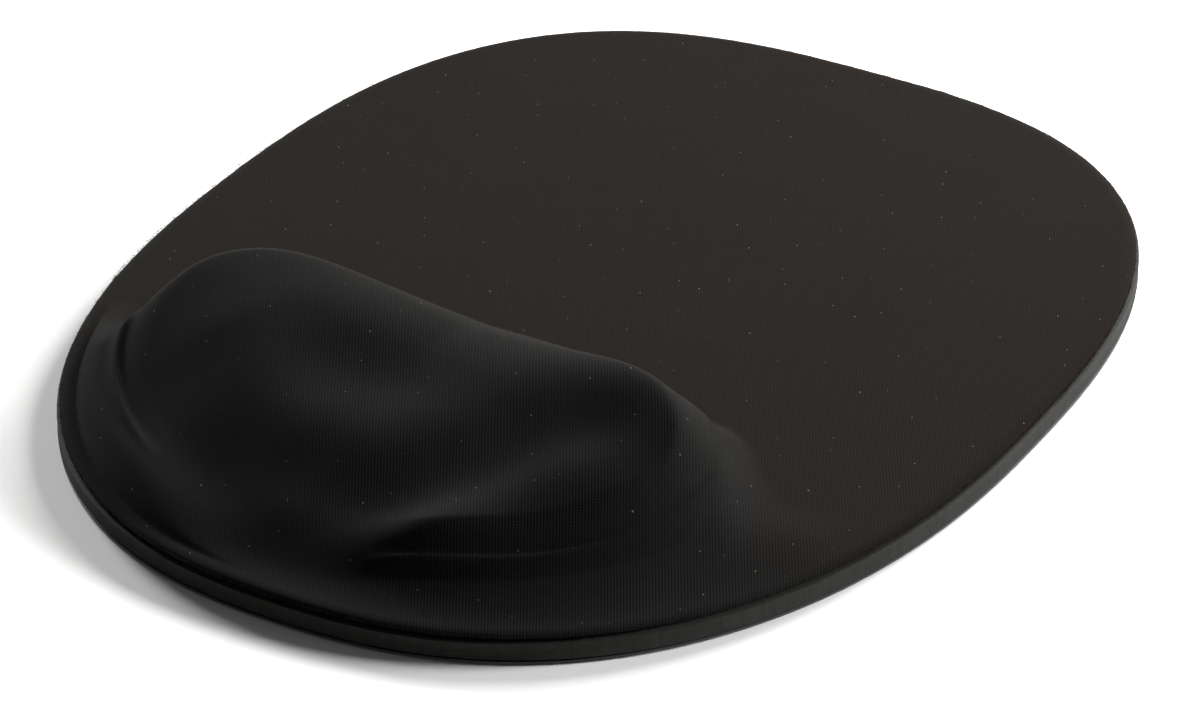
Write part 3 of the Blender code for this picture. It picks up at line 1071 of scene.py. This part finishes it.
@dataclass
class ClothCover:
    """The knit cover: one tight skin over slab and cushion, rolled and fuzzy where it is cut."""

    shape: CushionShape
    cloth: StretchKnit = StretchKnit()
    cells: tuple[int, int] = (230, 272)
    crowding: float = 0.26
    thickness: float = 1.0
    slope_step: float = 0.2
    slope_limit: float = 6.0
    # The rolled rim: its round, shares of the way down to the cut with their insets, and its tuck.
    rim_inset: float = 0.7
    roll_across: float = 2.6
    roll_drop: float = 1.05
    roll_steps: Profile = ((0.45, -0.02), (0.8, 0.08), (1.0, 0.38))
    cut_height: float = 5.95
    cut_wander: float = 0.16
    rim_wander: float = 0.12
    tuck_inset: float = 1.3
    tuck_drop: float = 0.02
    tuck_floor: float = 5.82
    back_inset: float = 3.4
    # Where the cloth lies flat: how far it may rise, and where along the pad that starts.
    flat_rise: float = 3.0
    flat_from: tuple[float, float] = (-75.0, -45.0)
    # The loose yarn ends along the cut.
    yarn_count: int = 2600
    yarn_inset: float = 0.1
    yarn_heights: tuple[float, float] = (5.85, 6.5)
    yarn_tilt: tuple[float, float] = (-1.6, 0.6)
    yarn_stray: float = 0.8
    yarn_length: float = 0.75
    yarn_thickness: float = 0.045

    def top(self, x: Array, y: Array) -> Array:
        """Return the cloth's face, rolled down towards the rim."""
        distance = self.shape.outline.rim_distance(x, y) - self.rim_inset
        roll = quarter_round(distance / self.roll_across)
        return self.shape.height(x, y) - self.roll_drop * (1.0 - roll)

    def under(self, x: Array, y: Array) -> Array:
        """Return the cloth's back, one thickness behind its face."""
        height, step = self.shape.height, self.slope_step
        slope_x = (height(x + step, y) - height(x - step, y)) / (2 * step)
        slope_y = (height(x, y + step) - height(x, y - step)) / (2 * step)
        steepness = np.minimum(slope_x**2 + slope_y**2, self.slope_limit)
        return height(x, y) - self.thickness * np.sqrt(1.0 + steepness)

    def build_mesh(self) -> Object:
        """Return the closed cloth skin."""
        outline = self.shape.outline
        columns, rows = self.cells
        across, along = disc_grid(columns, rows, self.crowding)
        face_x, face_y = outline.from_disc(across, along, self.rim_inset)
        face = np.column_stack([face_x, face_y, self.top(face_x, face_y)])
        rim = grid_edge(columns, rows)
        side = self.rolled_rim(across[rim], along[rim], face[rim, 2])
        back_across, back_along = disc_grid(columns // 2, rows // 2, self.crowding)
        back_x, back_y = outline.from_disc(back_across, back_along, self.back_inset)
        back = np.column_stack([back_x, back_y, self.under(back_x, back_y)])
        return self.join(face, side, back, rim)

    def rolled_rim(self, across: Array, along: Array, edge_z: Array) -> list[Array]:
        """Return the rings that run from the face's edge over the cut and in under it.

        Args:
            across: disc coordinates of the face's edge, across.
            along: the same, along.
            edge_z: its heights.

        Returns:
            The rings, from the top down.
        """
        outline = self.shape.outline
        angles = np.arctan2(along, across)
        cut = self.cut_height + uneven_line(angles, self.cut_wander, seed=3)
        bulge = uneven_line(angles, self.rim_wander, seed=5, waves=(9, 31, 67))
        side = []
        for share, inset in self.roll_steps:
            x, y = outline.from_disc(across, along, self.rim_inset + inset - bulge * share)
            side.append(np.column_stack([x, y, blend(edge_z, cut, share)]))
        x, y = outline.from_disc(across, along, self.rim_inset + self.tuck_inset)
        side.append(np.column_stack([x, y, np.maximum(cut - self.tuck_drop, self.tuck_floor)]))
        return side

    def join(self, face: Array, side: list[Array], back: Array, rim: list[int]) -> Object:
        """Join the face, the rolled rim and the coarser back into one closed mesh."""
        columns, rows = self.cells
        faces = grid_faces(columns, rows)
        start = len(face)
        ring = rim
        for row in side:
            below = list(range(start, start + len(row)))
            faces += ring_faces(ring, below)
            ring = below
            start += len(row)
        faces += grid_faces(columns // 2, rows // 2, start, flip=True)
        back_rim = [start + number for number in grid_edge(columns // 2, rows // 2)]
        count = len(ring)
        for i, inner in enumerate(back_rim):
            after = back_rim[(i + 1) % len(back_rim)]
            first, middle, last = ring[2 * i], ring[2 * i + 1], ring[(2 * i + 2) % count]
            faces += [(inner, first, middle), (inner, middle, after), (after, middle, last)]
        points = np.vstack([face, *side, back])
        return mesh_piece("knit_cover", points, faces, self.cloth.make(), smooth_deg=75.0)

    def mark_flatness(self, cover: Object) -> None:
        """Mark where the cloth lies flat, where its backing tints it."""
        place = np.empty(len(cover.data.vertices) * 3)
        cover.data.vertices.foreach_get("co", place)
        x, y, _ = place.reshape(-1, 3).T / MM
        rise = self.shape.height(x, y) - self.shape.mousing_surface
        flat = (1.0 - ramp(rise, 0.0, self.flat_rise)) * ramp(y, *self.flat_from)
        attribute = cover.data.attributes.new("flatness", "FLOAT", "POINT")
        attribute.data.foreach_set("value", flat.astype(np.float32))

    def build_yarn_ends(self, material: Material) -> Object:
        """Return loose yarn ends along the cut edge, as a fringe of tiny fibres."""
        random = np.random.default_rng(29)
        angles = random.uniform(0, FULL_TURN, self.yarn_count)
        inset = self.rim_inset + self.yarn_inset
        x, y = self.shape.outline.from_disc(np.cos(angles), np.sin(angles), inset)
        points = np.column_stack([x, y, random.uniform(*self.yarn_heights, self.yarn_count)])
        length = np.hypot(x, y)
        tilt = random.uniform(*self.yarn_tilt, self.yarn_count)
        lean = np.column_stack([x / length, y / length, tilt])
        lean[:, :2] += random.normal(0, self.yarn_stray, (self.yarn_count, 2))
        sizes = {
            "Length": self.yarn_length * MM,
            "Thickness": self.yarn_thickness * MM,
            "Shortest": 0.35,
            "Longest": 1.25,
            "Seed": 7,
            "Material": material,
        }
        carrier = loose_points("yarn_points", points, lean)
        return run_tree(fibre_tree(), carrier, "cut_yarn_ends", sizes)

    def build(self) -> None:
        """Build and dress the cover and its yarn ends."""
        cover = self.build_mesh()
        self.mark_flatness(cover)
        dress(cover, "cover_cloth", "cloth_cover")
        ends = self.build_yarn_ends(cover.data.materials[0])
        dress(ends, "cover_cloth")


@dataclass
class WristCushion:
    """What fills the cushion: a foam former with a clear pouch of gel let into its top."""

    cover: ClothCover
    former_plan: PadOutline = PadOutline(78.0, 52.0, 27.5, -62.5, 2.2, 2.1)
    pouch_plan: PadOutline = PadOutline(56.5, 31.5, 28.0, -70.5, 2.4, 2.4)
    gel_plan: PadOutline = PadOutline(55.0, 30.0, 26.5, -70.5, 2.4, 2.4)
    bottom: float = 5.8
    thinnest_foam: float = 0.3
    thinnest_gel: float = 0.4
    # The pocket for the pouch: insets from the pouch's plan and heights over its floor.
    pocket_floor: float = 7.8
    pocket: Profile = ((-0.4, 0.4), (0.2, 0.0), (20.0, 0.0))
    # The pouch: the rounding of its edge, its upright side, and its headroom under the cloth.
    pouch_round: float = 7.0
    pouch_side: float = 1.2
    headroom: float = 0.4
    gap: float = 0.3
    film: float = 0.5
    edge_points: int = 288
    top_rings: int = 24
    former_rings: int = 12

    def ceiling(self, x: Array, y: Array) -> Array:
        """Return the highest that anything under the cloth may reach."""
        return self.cover.under(x, y) - self.gap

    def chamber_floor(self) -> float:
        """Return the height of the gel's underside, a gap over the lower film."""
        return self.pocket_floor + self.gap + self.film + self.gap

    def pouch_top(self, x: Array, y: Array) -> Array:
        """Return the top of the pouch, rounded down at its edge."""
        inside = self.pouch_plan.rim_distance(x, y) / self.pouch_round
        side = self.pocket_floor + self.gap + self.pouch_side
        return blend(side, self.ceiling(x, y) - self.headroom, quarter_round(inside))

    def under_top(self, drop: float, least: float) -> HeightField:
        """Return a surface a drop under the pouch's top, kept so far over the gel's underside."""
        floor = self.chamber_floor() + least
        return lambda x, y: np.maximum(self.pouch_top(x, y) - drop, floor)

    def build_former(self) -> Object:
        """Return the moulded foam former, with the pocket for the pouch."""
        angles = circle_angles(self.edge_points)
        pocket = profile_rings(self.pouch_plan, angles, self.pocket, self.pocket_floor)
        edge_x, edge_y, _ = plan_ring(self.former_plan, angles, 0.0, 0.0).T
        hole_x, hole_y, _ = pocket[0].T
        rings = shrunk_rings(self.former_plan, angles, (0.2, 0.98), flat_at(self.bottom))
        for share in np.linspace(0, 1, self.former_rings):
            x = blend(edge_x, hole_x, share)
            y = blend(edge_y, hole_y, share)
            z = np.maximum(self.ceiling(x, y), self.bottom + self.thinnest_foam)
            rings.append(np.column_stack([x, y, z]))
        foam = ClosedCellFoam("moulded_former_foam", "3b3a38", "4c4b48", 0.8, 0.85)
        return ring_body("cushion_former", rings + pocket, foam.make())

    def build_gel(self) -> Object:
        """Return the gel, filling the pouch."""
        angles = circle_angles(self.edge_points)
        low = flat_at(self.chamber_floor())
        rings = shrunk_rings(self.gel_plan, angles, (0.2, 0.97), low)
        top = self.under_top(self.film + self.gap, self.thinnest_gel)
        rings += shrunk_rings(self.gel_plan, angles, np.linspace(1.0, 0.06, self.top_rings), top)
        gel = ClearElastomer("clear_silicone_gel", "b9cdda", 0.18, 1.41, 0.85)
        return ring_body("gel_filling", rings, gel.make())

    def build_films(self) -> tuple[Object, Object]:
        """Return the pouch's flat lower film and its domed upper film."""
        angles = circle_angles(self.edge_points)
        film = ClearElastomer("clear_polyurethane_film", "d8dee2", 0.22, 1.5, 0.9, 14.0).make()
        low = self.pocket_floor + self.gap
        rings = shrunk_rings(self.pouch_plan, angles, (0.2, 1.0), flat_at(low))
        rings += shrunk_rings(self.pouch_plan, angles, (1.0, 0.2), flat_at(low + self.film))
        lower = ring_body("pouch_lower_film", rings, film)
        shares = np.linspace(0.06, 0.985, self.top_rings)
        rings = shrunk_rings(self.pouch_plan, angles, shares, self.under_top(self.film, 0.0))
        rings += shrunk_rings(self.pouch_plan, angles, (1.0,), flat_at(self.chamber_floor()))
        outside = self.under_top(0.0, self.film)
        rings += shrunk_rings(self.pouch_plan, angles, shares[::-1], outside)
        return lower, ring_body("pouch_upper_film", rings, film)

    def build(self) -> None:
        """Build and dress the cushion's filling."""
        former = dress(self.build_former(), "former_foam", "wrist_former")
        gel = dress(self.build_gel(), "gel", "gel_core")
        lower, upper = self.build_films()
        dress(lower, "pouch_film", "gel_pouch_lower_film")
        dress(upper, "pouch_film", "gel_pouch_upper_film")


# ---------------------------------------------------------------- studio
@dataclass(frozen=True)
class SoftLight:
    """One round soft light, in metres and watts, aimed at the pad's middle."""

    direction: tuple[float, float, float]
    distance: float
    size: float
    power: float


class LightRole(Enum):
    """What each soft light does: a near one behind for the glancing sheen, and a wide pair."""

    BACK = SoftLight((0.22, 0.90, 0.52), 0.75, 0.45, 12.5)
    RIGHT = SoftLight((1.00, 0.55, 0.42), 1.8, 0.6, 58.0)
    LEFT = SoftLight((-1.00, 0.45, 0.38), 1.8, 0.6, 40.0)


@dataclass
class Studio:
    """White paper, three soft lights and the camera, in metres."""

    paper: StudioPaper = StudioPaper()
    paper_reach: float = 4.0
    paper_z: float = -0.00002
    azimuth_deg: float = 30.05
    elevation_deg: float = 31.13
    distance: float = 1.152
    aim: tuple[float, float, float] = (0.0, -0.0013, 0.0)
    slide_right: float = 0.00169
    slide_up: float = -0.00253
    lens_mm: float = 164.04
    sensor_mm: float = 36.0
    clip_start: float = 0.01
    world: str = "ffffff"
    world_strength: float = 0.09

    def build_floor(self) -> None:
        """Lay the paper, just under the pad's studs."""
        mesh = bpy.data.meshes.new("paper_floor")
        corners = [(-1, -1), (1, -1), (1, 1), (-1, 1)]
        points = [(x * self.paper_reach, y * self.paper_reach, self.paper_z) for x, y in corners]
        mesh.from_pydata(points, [], [(0, 1, 2, 3)])
        mesh.materials.append(self.paper.make())
        add_object("paper_floor", mesh)

    def build_lights(self) -> None:
        """Set up the world and the soft lights."""
        world = bpy.data.worlds.new("soft_white_room")
        world.use_nodes = True
        bpy.context.scene.view_settings.view_transform = "Standard"
        glow = {"Color": linear(self.world), "Strength": self.world_strength}
        feed(world.node_tree, world.node_tree.nodes["Background"], glow)
        bpy.context.scene.world = world
        for role in LightRole:
            light = bpy.data.lights.new(role.name.lower(), "AREA")
            light.shape = "DISK"
            light.size = role.value.size
            light.energy = role.value.power
            place = Vector(role.value.direction).normalized() * role.value.distance
            turn = place.to_track_quat("Z", "Y").to_matrix().to_4x4()
            lamp = add_object(light.name, light)
            lamp.matrix_world = Matrix.Translation(place) @ turn

    def build_camera(self) -> None:
        """Set up the camera."""
        azimuth = math.radians(self.azimuth_deg)
        elevation = math.radians(self.elevation_deg)
        level = math.cos(elevation)
        back_x, back_y = math.sin(azimuth) * level, -math.cos(azimuth) * level
        back = Vector((back_x, back_y, math.sin(elevation)))
        right = Vector((math.cos(azimuth), math.sin(azimuth), 0.0))
        up = back.cross(right)
        slide = right * self.slide_right + up * self.slide_up
        place = Vector(self.aim) + back * self.distance + slide
        lens = bpy.data.cameras.new("camera")
        lens.lens = self.lens_mm
        lens.sensor_width = self.sensor_mm
        lens.clip_start = self.clip_start
        camera = add_object("camera", lens)
        turn = Matrix((right, up, back)).transposed().to_4x4()
        camera.matrix_world = Matrix.Translation(place) @ turn
        bpy.context.scene.camera = camera

    def build(self) -> None:
        """Build the whole set."""
        self.build_floor()
        self.build_lights()
        self.build_camera()


def pad_outline() -> PadOutline:
    """Return the pad's plan, as wide and long as the foam slab in the frame."""
    low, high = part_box("foam_slab")
    half_width = (high[0] - low[0]) / 2 / MM
    length = (high[1] - low[1]) / MM
    front = length * FRONT_SHARE
    return PadOutline(half_width, front, length - front, low[1] / MM + front)


def main() -> None:
    """Build the pad, its cushion and its cover, and then the set."""
    logging.basicConfig(level=logging.INFO, format="%(name)s: %(message)s")
    outline = pad_outline()
    shape = CushionShape(outline)
    cover = ClothCover(shape)
    BasePad(outline).build()
    WristCushion(cover).build()
    cover.build()
    Studio().build()


if __name__ == "__main__":
    main()
